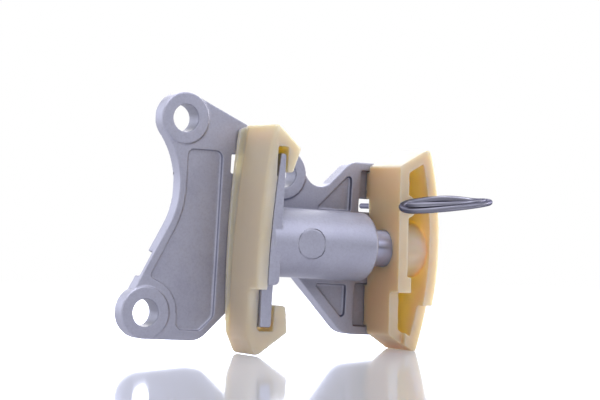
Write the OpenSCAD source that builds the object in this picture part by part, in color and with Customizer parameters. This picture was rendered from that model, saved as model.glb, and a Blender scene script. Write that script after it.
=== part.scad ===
// Hydraulic timing chain tensioner that works inside the chain loop between two camshafts.
// A die-cast bracket carries a fixed guide shoe on its rail and a plunger in its barrel.
// The plunger presses a second guide shoe outwards, and a wire pin locks it for fitting.
// X runs along the plunger towards the moving shoe, Y is normal to the mounting face, Z is up.
// The origin is the centre of the inner bolt hole on the mounting face.

/* [Bolts] */
// Diameter of the bolt holes, clearance for M6
bolt_d = 6.6; // [6.2:0.1:7]
// Diameter of the round lug about each bolt
lug_d = 12.4; // [11.8:0.1:13]
// Height of each bolt seat above the front of the plate
seat_h = 0.4; // [0.2:0.1:0.8]
// Height of each mounting pad behind the plate
pad_h = 1; // [0.6:0.1:1.6]
// Diameter of the mounting pads
pad_d = 10; // [9:0.1:11]
// Upper bolt, across from the inner bolt
upper_bolt_x = -27.2; // [-29:0.1:-26]
// Upper bolt, up from the inner bolt
upper_bolt_z = 11.5; // [10:0.1:13]
// Lower bolt, across from the inner bolt
lower_bolt_x = -34.8; // [-36:0.1:-33]
// Lower bolt, up from the inner bolt
lower_bolt_z = -35; // [-37:0.1:-33]

/* [Plate] */
// Thickness of the plate
plate_t = 4; // [3:0.1:5]
// Radius of the hollow left edge, which clears a sprocket
edge_r = 20; // [16:0.5:24]
// Where the hollow edge comes nearest to the inner bolt
edge_x = -27.6; // [-29:0.1:-27]
// Lean of the straight edge below the hollow, in degrees
edge_lean = 27; // [24:1:29]
// Corner where the bottom edge turns up towards the barrel
foot_x = -20.3; // [-23:0.1:-18]
// Rounding of that corner
foot_r = 5.5; // [2:0.5:6]
// Depth of the shallow panel sunk in the plate
panel_depth = 0.8; // [0.4:0.1:1.2]
// Width of the rim left about the panel
rim_w = 1.9; // [1.5:0.1:2.5]
// Right side of the panel
panel_right = -16.75; // [-18:0.05:-16]
// Thickness of the web left at the notch behind the left edge
notch_web = 1.5; // [1:0.1:2.5]
// Height of the core slot beside the fixed shoe
slot_h = 4.7; // [3:0.1:6]
// Width of the core slot
slot_w = 4; // [2:0.1:5]

/* [Wing] */
// End of the wing behind the moving shoe
wing_end = 33; // [31:0.1:34]
// Reach of the wing above the plunger axis
wing_up = 20.95; // [19.5:0.05:22]
// Reach of the wing below the plunger axis
wing_down = 21.6; // [20.5:0.1:23]
// Where the slanted edges of the wing meet its level edges
wing_shoulder = 18.9; // [17.5:0.1:20]
// Rounding of the saddle between the inner lug and the wing
saddle_r = 4.5; // [3:0.1:5]
// Depth of the triangular recesses
recess_depth = 1; // [0.5:0.1:1.6]
// Rim between the upper recess and the slanted edge
upper_rim = 2.1; // [1.6:0.1:2.6]
// Rim between the lower recess and the slanted edge
lower_rim = 2.5; // [2:0.1:3]
// Depth of the guide tracks for the moving shoe
track_depth = 1.5; // [1:0.1:2]
// Start of the guide tracks
track_start = 21.85; // [21:0.05:23]

/* [Barrel] */
// Plunger axis, down from the inner bolt
axis_drop = 16.6; // [16:0.1:17.5]
// Plunger axis, out from the front of the plate
axis_out = 7.25; // [6.9:0.05:7.6]
// Outer diameter of the barrel
barrel_d = 16.6; // [15:0.1:17]
// Open end of the barrel
barrel_end = 19.2; // [18:0.1:20]
// Edge chamfer at the open end
barrel_chamfer = 0.7; // [0.3:0.1:1]
// Bottom of the bore
bore_bottom = -5.5; // [-5.8:0.1:-4.5]
// Diameter of the oil feed
feed_d = 2.5; // [1.5:0.1:3]
// Diameter of the ejector mark on the front of the barrel
mark_d = 7.4; // [5:0.1:8]
// Depth of that mark below the crest of the barrel
mark_sink = 0.3; // [0.2:0.05:0.5]
// Place of that mark along the barrel
mark_x = 0.5; // [-1:0.1:2]

/* [Rail] */
// Right side of the rail
rail_right = -7.5; // [-7.8:0.05:-7.2]
// Top of the rail
rail_top = 4.3; // [3:0.1:5]
// Bottom of the rail
rail_bottom = -36.9; // [-38:0.1:-35]
// Where the front of the rail steps back
rail_step_z = -26.8; // [-28:0.1:-25.5]
// How far it steps back
rail_step = 3; // [2:0.1:4]

/* [Fixed shoe] */
// Radius of the sliding face
face_r = 280; // [200:5:400]
// Where the sliding face reaches furthest left
face_x = -13.35; // [-13.8:0.05:-13]
// Height of that place
face_z = -26; // [-28:0.5:-22]
// Thickness of the wall under the sliding face
shoe_wall = 2.75; // [2.4:0.05:3]
// Reach of both shoes in front of the plate
shoe_out = 15; // [14.5:0.1:16]
// Reach of the lower part of both shoes
shoe_low_out = 11; // [10:0.1:12]
// Where the front of the fixed shoe steps back
fixed_step_z = -28; // [-29:0.1:-27]
// Top of the fixed shoe
fixed_top = 11.2; // [10.5:0.1:12]
// Bottom of the fixed shoe
fixed_bottom = -43.7; // [-45:0.1:-43]
// Height of the flange along the sliding face
flange_h = 1.15; // [0.8:0.05:1.5]
// Where the flange stands furthest out
flange_z = -17.5; // [-20:0.5:-15]
// Thickness of that flange
flange_t = 1; // [0.6:0.1:1.5]
// Rounding of the nose, where the sliding face turns into the front
nose_r = 1.5; // [1:0.1:2]
// Reach of the upper hook past the rail
upper_hook_w = 3.9; // [3.5:0.1:4.3]
// Reach of the lower hook past the rail
lower_hook_w = 5.1; // [4.7:0.1:5.5]
// Top of the lower hook
lower_hook_z = -31.6; // [-32.6:0.1:-30.8]
// Free space above the rail
room_above = 1.7; // [1:0.1:2]
// Free space below the rail
room_below = 1; // [0.6:0.1:1.4]
// Gap between the rail and the upper hook
upper_hook_gap = 0.5; // [0.3:0.1:0.8]
// Gap between the rail and the lower hook
lower_hook_gap = 1.2; // [0.5:0.1:1.5]
// Extra width at the upper end of the slot
entry_step = 0.3; // [0.2:0.05:0.5]

/* [Moving shoe] */
// Inner face of the moving shoe, on the plunger axis
inner_x = 24.8; // [24:0.1:26]
// Lean of the inner face, in degrees
inner_lean = 2.4; // [0:0.1:4]
// Thickness of the inner wall
inner_wall = 2.7; // [2.2:0.1:3.2]
// Thickness of the wall under the chain
outer_wall = 2.8; // [2.2:0.1:3.4]
// Thickness of the slanted end walls
end_wall = 2.6; // [2:0.1:3]
// Thickness of the wall next to the plate
back_wall = 1.6; // [1:0.1:2.5]
// Radius of the face under the chain
outer_r = 84; // [70:1:110]
// Furthest reach of that face
outer_x = 36.3; // [35:0.1:38]
// Height of that place
outer_z = -17.5; // [-19:0.1:-16]
// Top of the moving shoe
moving_top = 7.8; // [7:0.1:9]
// Bottom of the moving shoe
moving_bottom = -41.2; // [-43:0.1:-40.5]
// Slope of the end walls, in degrees
end_slope = 31; // [27:1:34]
// Diameter of the boss that takes the plunger
boss_d = 13; // [12:0.1:13.5]
// Depth of the plunger's seat in the boss
seat_depth = 6; // [4:0.1:7]
// Radius of the lug that takes the lock pin
pin_lug_r = 2.75; // [2:0.05:3.2]

/* [Plunger] */
// Diameter of the plunger
plunger_d = 9; // [8:0.1:10]
// Wall of the hollow plunger
plunger_wall = 0.9; // [0.7:0.05:1.1]
// Thickness of its closed tip
plunger_tip = 2.5; // [1.5:0.1:3]
// Open end of the plunger inside the barrel
plunger_in = -0.5; // [-1.2:0.1:1]
// Wire of the plunger spring
spring_wire = 0.75; // [0.6:0.05:0.85]
// Turns of the plunger spring
spring_turns = 14; // [8:1:16]

/* [Check valve] */
// Thickness of the valve seat
valve_t = 1.6; // [1:0.1:2]
// Hole through the valve seat
valve_hole_d = 2; // [1.4:0.1:2.4]
// Diameter of the check ball
ball_d = 3; // [2.6:0.1:3.2]
// Travel of the ball to its stop
ball_travel = 0.6; // [0.3:0.1:0.8]
// Sheet thickness of the ball cage
cage_t = 0.4; // [0.3:0.05:0.5]
// Wire of the ball spring
ball_wire = 0.3; // [0.2:0.05:0.35]

/* [Lock pin] */
// Diameter of the wire
pin_d = 1.4; // [1.2:0.05:1.6]
// Axis of the pin across the moving shoe
pin_x = 26.6; // [26.2:0.1:27]
// Axis of the pin, down from the inner bolt
pin_drop = 6.2; // [5.8:0.05:6.4]
// How far the pin reaches past the front of the plate
pin_reach = 7; // [5:0.1:8]
// Radius of the pull ring to the middle of the wire
ring_r = 10.5; // [8:0.1:13]
// Turns of the pull ring
ring_turns = 1.75; // [1:0.25:3]
// Turn of the ring about its shank, in degrees
ring_roll = 7.5; // [0:0.5:15]
// Droop of the ring, in degrees
ring_droop = 3.3; // [0:0.1:5]
// Height of the window that the pin passes through
window_h = 3.3; // [2.8:0.1:3.6]

/* [Fits] */
// Radial clearance of the plunger in the barrel
plunger_clearance = 0.03; // [0.02:0.01:0.08]
// Radial clearance of the plunger in the moving shoe
seat_clearance = 0.05; // [0.02:0.01:0.1]
// Radial clearance of the pin in its lug
pin_clearance = 0.1; // [0.05:0.01:0.2]
// Clearance of the fixed shoe about the rail
clip_clearance = 0.08; // [0.05:0.01:0.15]
// Gap between the shoes and the plate
shoe_gap = 0.2; // [0.1:0.05:0.3]
// Gap beside and behind the guide ribs
rib_gap = 0.3; // [0.2:0.05:0.4]
// Play of the pin in the window before it meets the plate
pin_play = 1.45; // [1.35:0.05:2]
// Gap at the parts of the check valve
valve_gap = 0.02; // [0.01:0.01:0.04]

/* [Hidden] */
$fn = 64;

// Overlap that joins features of one casting
weld = 0.5;
// Overlap of neighbouring rounds in an outline
blend = 0.05;
// Length by which a cut runs past the surface that it opens
past = 1;
// Number of chords in a rounded corner
corner_steps = 6;

lug_r = lug_d / 2;
inner_bolt = [0, 0];
upper_bolt = [upper_bolt_x, upper_bolt_z];
lower_bolt = [lower_bolt_x, lower_bolt_z];
bolts = [inner_bolt, upper_bolt, lower_bolt];

// Levels along Y
back_y = -pad_h;
front_y = back_y - plate_t;
axis_y = front_y - axis_out;
shoe_back_y = front_y - shoe_gap;
shoe_front_y = front_y - shoe_out;
shoe_low_y = front_y - shoe_low_out;

// Plunger axis and the levels that follow it
axis_z = -axis_drop;
barrel_r = barrel_d / 2;
bore_d = plunger_d + 2 * plunger_clearance;
wing_top = axis_z + wing_up;
wing_bottom = axis_z - wing_down;
plunger_out = inner_x + seat_depth;
spring_end = plunger_out - plunger_tip;

// Hollow left edge: it touches the upper lug, and the straight edge leaves it at its lean
edge_centre = [
    edge_x - edge_r,
    upper_bolt_z - sqrt(pow(edge_r + lug_r - blend, 2) - pow(upper_bolt_x - edge_x + edge_r, 2)),
];
edge_turn = edge_centre + (edge_r - blend) * [cos(edge_lean), -sin(edge_lean)];
edge_way = [-sin(edge_lean), -cos(edge_lean)];
edge_foot = edge_turn + edge_way * ((lower_bolt - edge_turn) * edge_way);
plate_bottom = lower_bolt_z - lug_r;

// Slanted edges of the wing run at 45 degrees: across minus up is constant along the upper one
upper_slant = wing_shoulder - wing_top;
lower_slant = wing_shoulder + wing_bottom;
saddle_line = upper_slant - (saddle_r - blend) * sqrt(2);
saddle_z = (sqrt(2 * pow(lug_r + saddle_r - blend, 2) - pow(saddle_line, 2)) - saddle_line) / 2;
saddle_centre = [saddle_z + saddle_line, saddle_z];

// Fixed shoe
face_centre = [face_x + face_r, face_z];
shoe_left = face_x - 2;
wall_right = rail_right - 1;
flange_centre = [face_x - flange_h + face_r, flange_z];
rail_face_r = face_r - shoe_wall - clip_clearance;

// Moving shoe
outer_centre = [outer_x - outer_r, outer_z];
outer_side = outer_x + 5;
pin_z = -pin_drop;
pin_hole_d = pin_d + 2 * pin_clearance;

// Guide tracks: the upper one ends above the pin's window, the lower one below the barrel
window_top = pin_z + window_h / 2;
upper_track = [window_top - 0.3, wing_top - 1.95];
lower_track = [wing_bottom + 2.1, axis_z - barrel_r - 0.6];

// Check valve
valve_x = bore_bottom + valve_t;
ball_x = valve_x + sqrt(pow(ball_d / 2, 2) - pow(valve_hole_d / 2, 2)) + valve_gap;
ball_top = ball_x + ball_d / 2;
cage_roof = ball_top + ball_travel + 3 * ball_wire;
cage_r = ball_d / 2 + cage_t + 0.35;
cage_flange_d = bore_d - 0.2;

function unit(v) = v / norm(v);
function turned(v, a) = [v.x * cos(a) - v.y * sin(a), v.x * sin(a) + v.y * cos(a)];

// Arc that rounds corner p between neighbours a and b with radius r
function corner_arc(a, p, b, r) =
    r == 0
        ? [p]
        : let (
              u = unit(a - p),
              v = unit(b - p),
              half = acos(u * v) / 2,
              middle = p + unit(u + v) * r / sin(half),
              first = p + u * r / tan(half) - middle,
              last = p + v * r / tan(half) - middle,
              sweep = sign(cross(first, last)) * (180 - 2 * half)
          )
          [for (k = [0 : corner_steps]) middle + turned(first, sweep * k / corner_steps)];

// Closed outline from corners given as [across, up, rounding]
function rounded(corners) = [
    for (i = [0 : len(corners) - 1])
        let (
            here = corners[i],
            before = corners[(i + len(corners) - 1) % len(corners)],
            after = corners[(i + 1) % len(corners)]
        )
        each corner_arc([before.x, before.y], [here.x, here.y], [after.x, after.y], here[2])
];

// Inner face of the moving shoe at height z, shifted across
function inner_face(z, shift = 0) = inner_x + shift - (z - axis_z) * tan(inner_lean);

// Extrudes a front-view outline from level y towards the front
module slab(y, depth) translate([0, y, 0]) rotate([90, 0, 0]) linear_extrude(depth) children();

// Round bar along X between two places, on the plunger axis
module along_axis(from, to, d)
    translate([from, axis_y, axis_z]) rotate([0, 90, 0]) cylinder(d = d, h = to - from);

// Round bar along Y between two levels, at a place in the front view
module across_plate(place, from, to, d)
    translate([place.x, from, place.y]) rotate([90, 0, 0]) cylinder(d = d, h = from - to);

// Strip of plate that joins two lugs
module strip(a, b)
    translate(a) rotate(atan2(b.y - a.y, b.x - a.x)) translate([0, blend - lug_r]) square([norm(b - a), lug_d - 2 * blend]);

// Round wire carried along a path that turns about an axis
module wire(path, axis, d, sides) {
    last = len(path) - 1;
    points = [
        for (i = [0 : last])
            let (
                way = unit(path[min(i + 1, last)] - path[max(i - 1, 0)]),
                side = unit(cross(way, axis)),
                rise = cross(way, side)
            )
            for (k = [0 : sides - 1])
                path[i] + d / 2 * (cos(360 * k / sides) * side + sin(360 * k / sides) * rise)
    ];
    start_cap = [for (k = [0 : sides - 1]) k];
    end_cap = [for (k = [sides - 1 : -1 : 0]) last * sides + k];
    walls = [
        for (i = [0 : last - 1])
            for (k = [0 : sides - 1])
                let (
                    here = i * sides + k,
                    next = i * sides + (k + 1) % sides
                )
                each [[here, here + sides, next + sides], [here, next + sides, next]]
    ];
    polyhedron(points, concat([start_cap], walls, [end_cap]));
}

// Coil spring along the plunger axis between two places
module coil(from, to, coil_d, wire_d, turns, steps, sides) {
    travel = to - from - wire_d;
    wire(
        [
            for (i = [0 : turns * steps])
                let (a = 360 * i / steps)
                [
                    from + wire_d / 2 + travel * i / (turns * steps),
                    axis_y + coil_d / 2 * cos(a),
                    axis_z + coil_d / 2 * sin(a),
                ]
        ],
        [1, 0, 0],
        wire_d,
        sides
    );
}

// Front view of the plate
module plate_outline() {
    for (b = bolts) translate(b) circle(lug_r);
    strip(upper_bolt, inner_bolt);
    difference() {
        polygon(
            rounded([
                [edge_centre.x, edge_centre.y, 0],
                [edge_turn.x, edge_turn.y, 0],
                [edge_foot.x, edge_foot.y, 0],
                [lower_bolt.x, lower_bolt.y, 0],
                [lower_bolt.x, plate_bottom, 0],
                [foot_x, plate_bottom, foot_r],
                [foot_x + axis_z - plate_bottom, axis_z, 0],
                [inner_bolt.x, inner_bolt.y, 0],
                [upper_bolt.x, upper_bolt.y, 0],
            ])
        );
        translate(edge_centre) circle(edge_r, $fn = 128);
    }
    wing_outline();
}

// Front view of the wing that backs the moving shoe
module wing_outline() {
    saddle_foot = saddle_centre + (saddle_r - blend) / sqrt(2) * [1, -1];
    polygon(
        rounded([
            [lower_slant - axis_z, axis_z, 0],
            [wing_shoulder, wing_bottom, 6],
            [wing_end, wing_bottom, 3],
            [wing_end, wing_top, 3],
            [wing_shoulder, wing_top, 4.5],
            [saddle_foot.x, saddle_foot.y, 0],
            [saddle_foot.x, axis_z, 0],
        ])
    );
    difference() {
        polygon([inner_bolt, saddle_centre, saddle_foot, [saddle_foot.x, axis_z], [0, axis_z]]);
        translate(saddle_centre) circle(saddle_r);
    }
}

// Front view of the shallow panel in the plate
module panel_outline() {
    panel_x = edge_x + rim_w - 0.2;
    panel_top = upper_bolt_z - lug_r - 0.9;
    panel_bottom = plate_bottom + 2.4;
    bend = edge_centre.y - (edge_r + rim_w) * tan(edge_lean / 2);
    clear_lug = lug_r + 2.05;
    tip = edge_turn + rim_w * [cos(edge_lean), -sin(edge_lean)] + edge_way * 13.2;
    polygon(
        rounded([
            [panel_x, panel_top, 1.6],
            [panel_right, panel_top, 1.8],
            [panel_right, foot_x - panel_right + plate_bottom + 9.4, 2],
            [foot_x - 0.1, panel_bottom, 2],
            [lower_bolt_x + clear_lug, panel_bottom, 1.6],
            [lower_bolt_x + clear_lug, lower_bolt_z + clear_lug * tan(33.5), clear_lug],
            [tip.x, tip.y, 1],
            [panel_x, bend, edge_r + rim_w],
        ])
    );
}

// Front view of the triangular recesses above and below the barrel
module recess_outlines() {
    right = track_start - 2.45;
    upper_gap = 0.4;
    lower_gap = 1.2;
    upper = upper_slant + upper_rim * sqrt(2);
    lower = lower_slant + lower_rim * sqrt(2);
    top = axis_z + barrel_r + upper_gap;
    bottom = axis_z - barrel_r - lower_gap;
    polygon(rounded([[right, right - upper, 0.9], [right, top, 0.5], [top + upper, top, 0.4]]));
    polygon(rounded([[right, lower - right, 0.9], [right, bottom, 0.5], [lower - bottom, bottom, 0.4]]));
}

// Front view of one guide track, open at the end of the wing
module track_outline(heights, low_r = 0.6)
    polygon(
        rounded([
            [track_start, heights[0], low_r],
            [wing_end + past, heights[0], 0],
            [wing_end + past, heights[1], 0],
            [track_start, heights[1], 0.6],
        ])
    );

// Front view of the window for the lock pin
module window_outline() {
    window_start = track_start - 0.1;
    window_end = pin_x + pin_d / 2 + pin_play;
    translate([window_start, pin_z - window_h / 2]) square([window_end - window_start, window_h]);
}

// Front view of the rail between two heights
module rail_outline(low, high, low_r)
    intersection() {
        translate(face_centre) circle(rail_face_r, $fn = 720);
        polygon(
            rounded([
                [shoe_left, low, 0],
                [rail_right, low, low_r],
                [rail_right, high, 0.8],
                [shoe_left, high, 0],
            ])
        );
    }

// Barrel with a skirt that joins it to the plate
module barrel_body() {
    start = rail_right - 2;
    skirt_r = barrel_r - 0.2;
    mark_y = axis_y - barrel_r + mark_sink;
    difference() {
        along_axis(start, barrel_end - barrel_chamfer, barrel_d);
        across_plate([mark_x, axis_z], mark_y, mark_y - past, mark_d);
    }
    translate([barrel_end - barrel_chamfer, axis_y, axis_z])
        rotate([0, 90, 0])
            cylinder(r1 = barrel_r, r2 = barrel_r - barrel_chamfer, h = barrel_chamfer);
    translate([start, axis_y, axis_z - skirt_r])
        cube([barrel_end - barrel_chamfer - start, axis_out + weld, 2 * skirt_r]);
    across_plate([mark_x, axis_z], axis_y, mark_y, mark_d - 0.3);
}

// Bore, inlet chamber and oil feed
module barrel_passages() {
    chamber = feed_d + 0.4;
    feed_x = bore_bottom - chamber / 2;
    along_axis(bore_bottom, barrel_end + past, bore_d);
    along_axis(bore_bottom - chamber, bore_bottom + weld, plunger_d / 2);
    across_plate([feed_x, axis_z], past, axis_y, feed_d);
}

// Notch behind the left edge of the plate
module edge_notch() {
    notch_l = 6.6;
    middle = edge_turn + edge_way * 10.6;
    translate([middle.x, back_y + past, middle.y])
        rotate([90, edge_lean, 0])
            translate([-past * 4, -notch_l / 2, 0])
                cube([past * 8, notch_l, plate_t - notch_web + past]);
}

// Die-cast bracket with plate, barrel and rail
module housing() {
    feed_pad = [bore_bottom - feed_d / 2 - 0.2, axis_z];
    color("#a2a4b0")
        difference() {
            union() {
                slab(back_y, plate_t) plate_outline();
                for (b = bolts) {
                    across_plate(b, 0, back_y - weld, pad_d);
                    across_plate(b, back_y - weld, front_y - seat_h, lug_d - 0.2);
                }
                across_plate(feed_pad, 0, back_y - weld, feed_d + 5);
                barrel_body();
                slab(front_y + weld, shoe_out - rail_step + weld)
                    rail_outline(rail_bottom, rail_top, 0.6);
                slab(front_y + weld, shoe_out + weld) rail_outline(rail_step_z, rail_top, 1.3);
            }
            for (b = bolts) across_plate(b, past, front_y - seat_h - past, bolt_d);
            slab(front_y + panel_depth, panel_depth + past) panel_outline();
            slab(front_y + recess_depth, recess_depth + past) recess_outlines();
            slab(front_y + track_depth, track_depth + past) {
                track_outline(upper_track, 0);
                track_outline(lower_track);
            }
            slab(past, plate_t + pad_h + 2 * past) {
                window_outline();
                translate([face_x - 1, -0.8]) square([slot_w, slot_h]);
            }
            edge_notch();
            barrel_passages();
        }
}

// Slot of the fixed shoe, which takes the rail
module rail_slot_outline() {
    slot_r = rail_face_r + clip_clearance;
    middle = (rail_top + rail_bottom) / 2;
    top = rail_top + room_above;
    bottom = rail_bottom - room_below;
    entry_z = rail_top - 5.5;
    entry_x = face_centre.x - sqrt(pow(slot_r, 2) - pow(entry_z - face_z, 2)) - entry_step;
    upper_x = rail_right + upper_hook_gap;
    lower_x = rail_right + lower_hook_gap;
    intersection() {
        union() {
            translate(face_centre) circle(slot_r, $fn = 720);
            translate([entry_x, entry_z]) square([20, 20]);
        }
        polygon([
            [shoe_left, bottom],
            [lower_x, bottom],
            [lower_x, middle],
            [upper_x, middle],
            [upper_x, top],
            [shoe_left, top],
        ]);
    }
}

// Front view of the fixed shoe: a wall with a hook over each end of the rail
module fixed_shoe_outline()
    difference() {
        polygon(
            rounded([
                [shoe_left, 2, 0],
                [face_x + 1.9, fixed_top - 0.3, 1.5],
                [face_x + 3.4, fixed_top, 0.8],
                [rail_right + upper_hook_w, fixed_top - 5.5, 0.6],
                [rail_right + upper_hook_w - 1.9, -0.1, 0.4],
                [wall_right, -0.1, 0],
                [wall_right, lower_hook_z, 0],
                [rail_right + lower_hook_w - 0.8, lower_hook_z, 0.9],
                [rail_right + lower_hook_w, fixed_bottom + 5.7, 0.6],
                [face_x + 3.2, fixed_bottom, 0.8],
                [face_x + 2.2, fixed_bottom, 1],
                [face_x - 0.3, fixed_bottom + 5, 3],
                [shoe_left, fixed_bottom + 9, 0],
            ])
        );
        rail_slot_outline();
    }

// Front view of the flange that keeps the chain off the plate
module flange_outline() {
    inside_x = face_x + 2.2;
    intersection() {
        translate(flange_centre) circle(face_r, $fn = 720);
        polygon(
            rounded([
                [shoe_left, fixed_bottom + 9, 0],
                [shoe_left, 2, 0],
                [face_x - 0.6, fixed_top - 0.5, 4],
                [inside_x + 1, fixed_top - 0.5, 0],
                [inside_x, 0, 0],
                [inside_x, fixed_bottom + 0.5, 0],
                [face_x + 1.9, fixed_bottom + 0.5, 0],
                [face_x - 0.4, fixed_bottom + 5, 3],
            ])
        );
    }
}

// Cut that rounds the nose in front of a level, between two heights
module nose_cut(level, low, high) {
    first = 180 - asin((high - face_z) / face_r);
    sweep = asin((high - face_z) / face_r) - asin((low - face_z) / face_r);
    middle = [face_r - nose_r + blend, blend - nose_r];
    translate([face_centre.x, level, face_centre.y])
        rotate([90, 0, 0])
            rotate(first)
                rotate_extrude(angle = sweep, $fn = 720)
                    difference() {
                        translate(middle) square(nose_r + past);
                        translate(middle) circle(nose_r, $fn = 32);
                    }
}

// Fixed guide shoe, moulded and clipped over the rail
module fixed_shoe() {
    lug_room = 0.3;
    step_room = 40;
    color("#e3cfa4")
        difference() {
            union() {
                slab(shoe_back_y, shoe_out - shoe_gap)
                    intersection() {
                        translate(face_centre) circle(face_r, $fn = 720);
                        fixed_shoe_outline();
                    }
                slab(shoe_back_y, flange_t) flange_outline();
            }
            slab(shoe_low_y, shoe_out)
                translate([shoe_left - past, fixed_step_z - step_room]) square([step_room, step_room]);
            across_plate(inner_bolt, front_y, front_y - seat_h - lug_room, lug_d + 2 * lug_room);
            nose_cut(shoe_front_y, fixed_step_z - past, fixed_top + past);
            nose_cut(shoe_low_y, fixed_bottom - past, fixed_step_z - 0.3);
        }
}

// Front view of the moving shoe, drawn in by a wall: 0 for its outside, 1 for its hollow
module moving_shoe_outline(inset) {
    in = inset * inner_wall;
    rise = inset * end_wall / cos(end_slope);
    top = moving_top - inset * end_wall;
    bottom = moving_bottom + inset * end_wall;
    top_foot = moving_top - 4.3;
    bottom_foot = moving_bottom + 3.6;
    top_x = inner_face(top_foot) + (moving_top - top_foot) / tan(end_slope);
    bottom_x = inner_face(bottom_foot) + (bottom_foot - moving_bottom) / tan(end_slope);
    top_in = top_foot - rise + in * tan(end_slope);
    bottom_in = bottom_foot + rise - in * tan(end_slope);
    round_off = inset == 0 ? 0.8 : 0.5;
    intersection() {
        translate(outer_centre) circle(outer_r - inset * outer_wall, $fn = 360);
        polygon(
            rounded([
                [inner_face(top_in, in), top_in, round_off],
                [top_x + (rise - inset * end_wall) / tan(end_slope), top, round_off],
                [outer_side, top, 0],
                [outer_side, bottom, 0],
                [bottom_x + (rise - inset * end_wall) / tan(end_slope), bottom, round_off],
                [inner_face(bottom_in, in), bottom_in, round_off],
            ])
        );
    }
}

// Front view of the inner wall of the moving shoe between two heights
module inner_wall_outline(low, high, extra = 0)
    polygon([
        [inner_face(low), low],
        [inner_face(low, inner_wall + extra), low],
        [inner_face(high, inner_wall + extra), high],
        [inner_face(high), high],
    ]);

// Moving guide shoe: a hollow moulding with a boss for the plunger and a lug for the pin
module moving_shoe() {
    inner_step_z = axis_z - 10.5;
    outer_step_z = axis_z - 13.4;
    outer_low_y = shoe_low_y - 1.5;
    tab_h = 3.8;
    step_room = 40;
    rib_y = front_y + track_depth - rib_gap;
    split_x = inner_x + inner_wall + 2;
    color("#e6c98c")
        difference() {
            union() {
                difference() {
                    slab(shoe_back_y, shoe_out - shoe_gap) moving_shoe_outline(0);
                    slab(shoe_back_y - back_wall, shoe_out) moving_shoe_outline(1);
                    slab(shoe_low_y, shoe_out)
                        translate([inner_x - 5, inner_step_z - step_room])
                            square([split_x - inner_x + 5, step_room]);
                    slab(outer_low_y, shoe_out)
                        translate([split_x - past, outer_step_z - step_room])
                            square([step_room, step_room]);
                }
                along_axis(inner_x + inner_wall / 2, outer_x - outer_wall / 2, boss_d);
                slab(shoe_back_y, shoe_out - shoe_gap)
                    intersection() {
                        translate([pin_x, pin_z]) circle(pin_lug_r);
                        moving_shoe_outline(0);
                    }
                slab(shoe_low_y + weld, shoe_out - shoe_low_out + weld)
                    inner_wall_outline(inner_step_z, inner_step_z + tab_h, 1.1);
                for (track = [upper_track, lower_track])
                    slab(rib_y, rib_y - shoe_back_y + weld)
                        inner_wall_outline(track[0] + rib_gap, track[1] - rib_gap);
            }
            along_axis(inner_x - 5, plunger_out, plunger_d + 2 * seat_clearance);
            across_plate([pin_x, pin_z], past, shoe_front_y - past, pin_hole_d);
        }
}

// Hollow plunger with a closed tip
module plunger() {
    tip_chamfer = 0.5;
    hollow_d = plunger_d - 2 * plunger_wall;
    color("#8e9096")
        difference() {
            union() {
                along_axis(plunger_in, plunger_out - tip_chamfer, plunger_d);
                translate([plunger_out - tip_chamfer, axis_y, axis_z])
                    rotate([0, 90, 0])
                        cylinder(d1 = plunger_d, d2 = plunger_d - 2 * tip_chamfer, h = tip_chamfer);
            }
            along_axis(plunger_in - past, spring_end, hollow_d);
        }
}

// Spring that drives the plunger out
module plunger_spring() {
    start = valve_x + valve_gap + cage_t + valve_gap;
    side_room = 0.2;
    coil_d = plunger_d - 2 * plunger_wall - 2 * side_room - spring_wire;
    color("#6f7178") coil(start, spring_end - valve_gap, coil_d, spring_wire, spring_turns, 16, 6);
}

// Seat of the check valve at the bottom of the bore
module valve_seat()
    color("#7d7f85")
        difference() {
            along_axis(bore_bottom, valve_x, bore_d - 2 * valve_gap);
            along_axis(bore_bottom - past, valve_x + past, valve_hole_d);
        }

// Ball that closes the seat
module check_ball()
    color("#b9bbc0") translate([ball_x, axis_y, axis_z]) sphere(d = ball_d);

// Light spring that holds the ball on its seat
module ball_spring() {
    coil_d = ball_d / 2;
    ring_touch = sqrt(pow(ball_d / 2, 2) - pow(coil_d / 2, 2));
    color("#6f7178")
        coil(ball_x + ring_touch + ball_wire / 4, cage_roof - valve_gap, coil_d, ball_wire, 3, 14, 6);
}

// Pressed cage that keeps the ball near its seat
module ball_cage() {
    start = valve_x + valve_gap;
    vent_d = 1.2;
    vent_x = valve_x + ball_d / 2;
    color("#84868d")
        difference() {
            union() {
                along_axis(start, start + cage_t, cage_flange_d);
                along_axis(start, cage_roof + cage_t, 2 * cage_r);
            }
            along_axis(start - past, cage_roof, 2 * (cage_r - cage_t));
            along_axis(cage_roof - past, cage_roof + 2 * past, vent_d);
            for (turn = [0 : 120 : 240])
                translate([vent_x, axis_y, axis_z])
                    rotate([turn, 0, 0])
                        cylinder(d = vent_d, h = cage_r + past);
        }
}

// Wire pin with a pull ring, through the moving shoe and the window in the plate
module lock_pin() {
    bend_r = 2;
    bend_steps = 6;
    turn_steps = 28;
    pitch = pin_d + 0.06;
    tail_y = front_y + pin_reach;
    bend_y = shoe_front_y - 1.5;
    ring_y = bend_y - bend_r - ring_r;
    bend = [
        for (i = [0 : bend_steps])
            let (a = 180 + 90 * i / bend_steps) [bend_r + bend_r * cos(a), bend_y + bend_r * sin(a), 0]
    ];
    ring = [
        for (i = [1 : ring_turns * turn_steps])
            let (a = 90 - 360 * i / turn_steps)
            [bend_r + ring_r * cos(a), ring_y + ring_r * sin(a), pitch * i / turn_steps]
    ];
    color("#4a4b55")
        translate([pin_x, 0, pin_z]) {
            translate([0, tail_y, 0]) rotate([90, 0, 0]) cylinder(d = pin_d, h = tail_y - bend_y);
            rotate([0, -ring_roll, 0])
                translate([0, bend_y, 0])
                    rotate([ring_droop, 0, 0])
                        translate([0, -bend_y, 0])
                            wire(concat(bend, ring), [0, 0, 1], pin_d, 10);
        }
}

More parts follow.
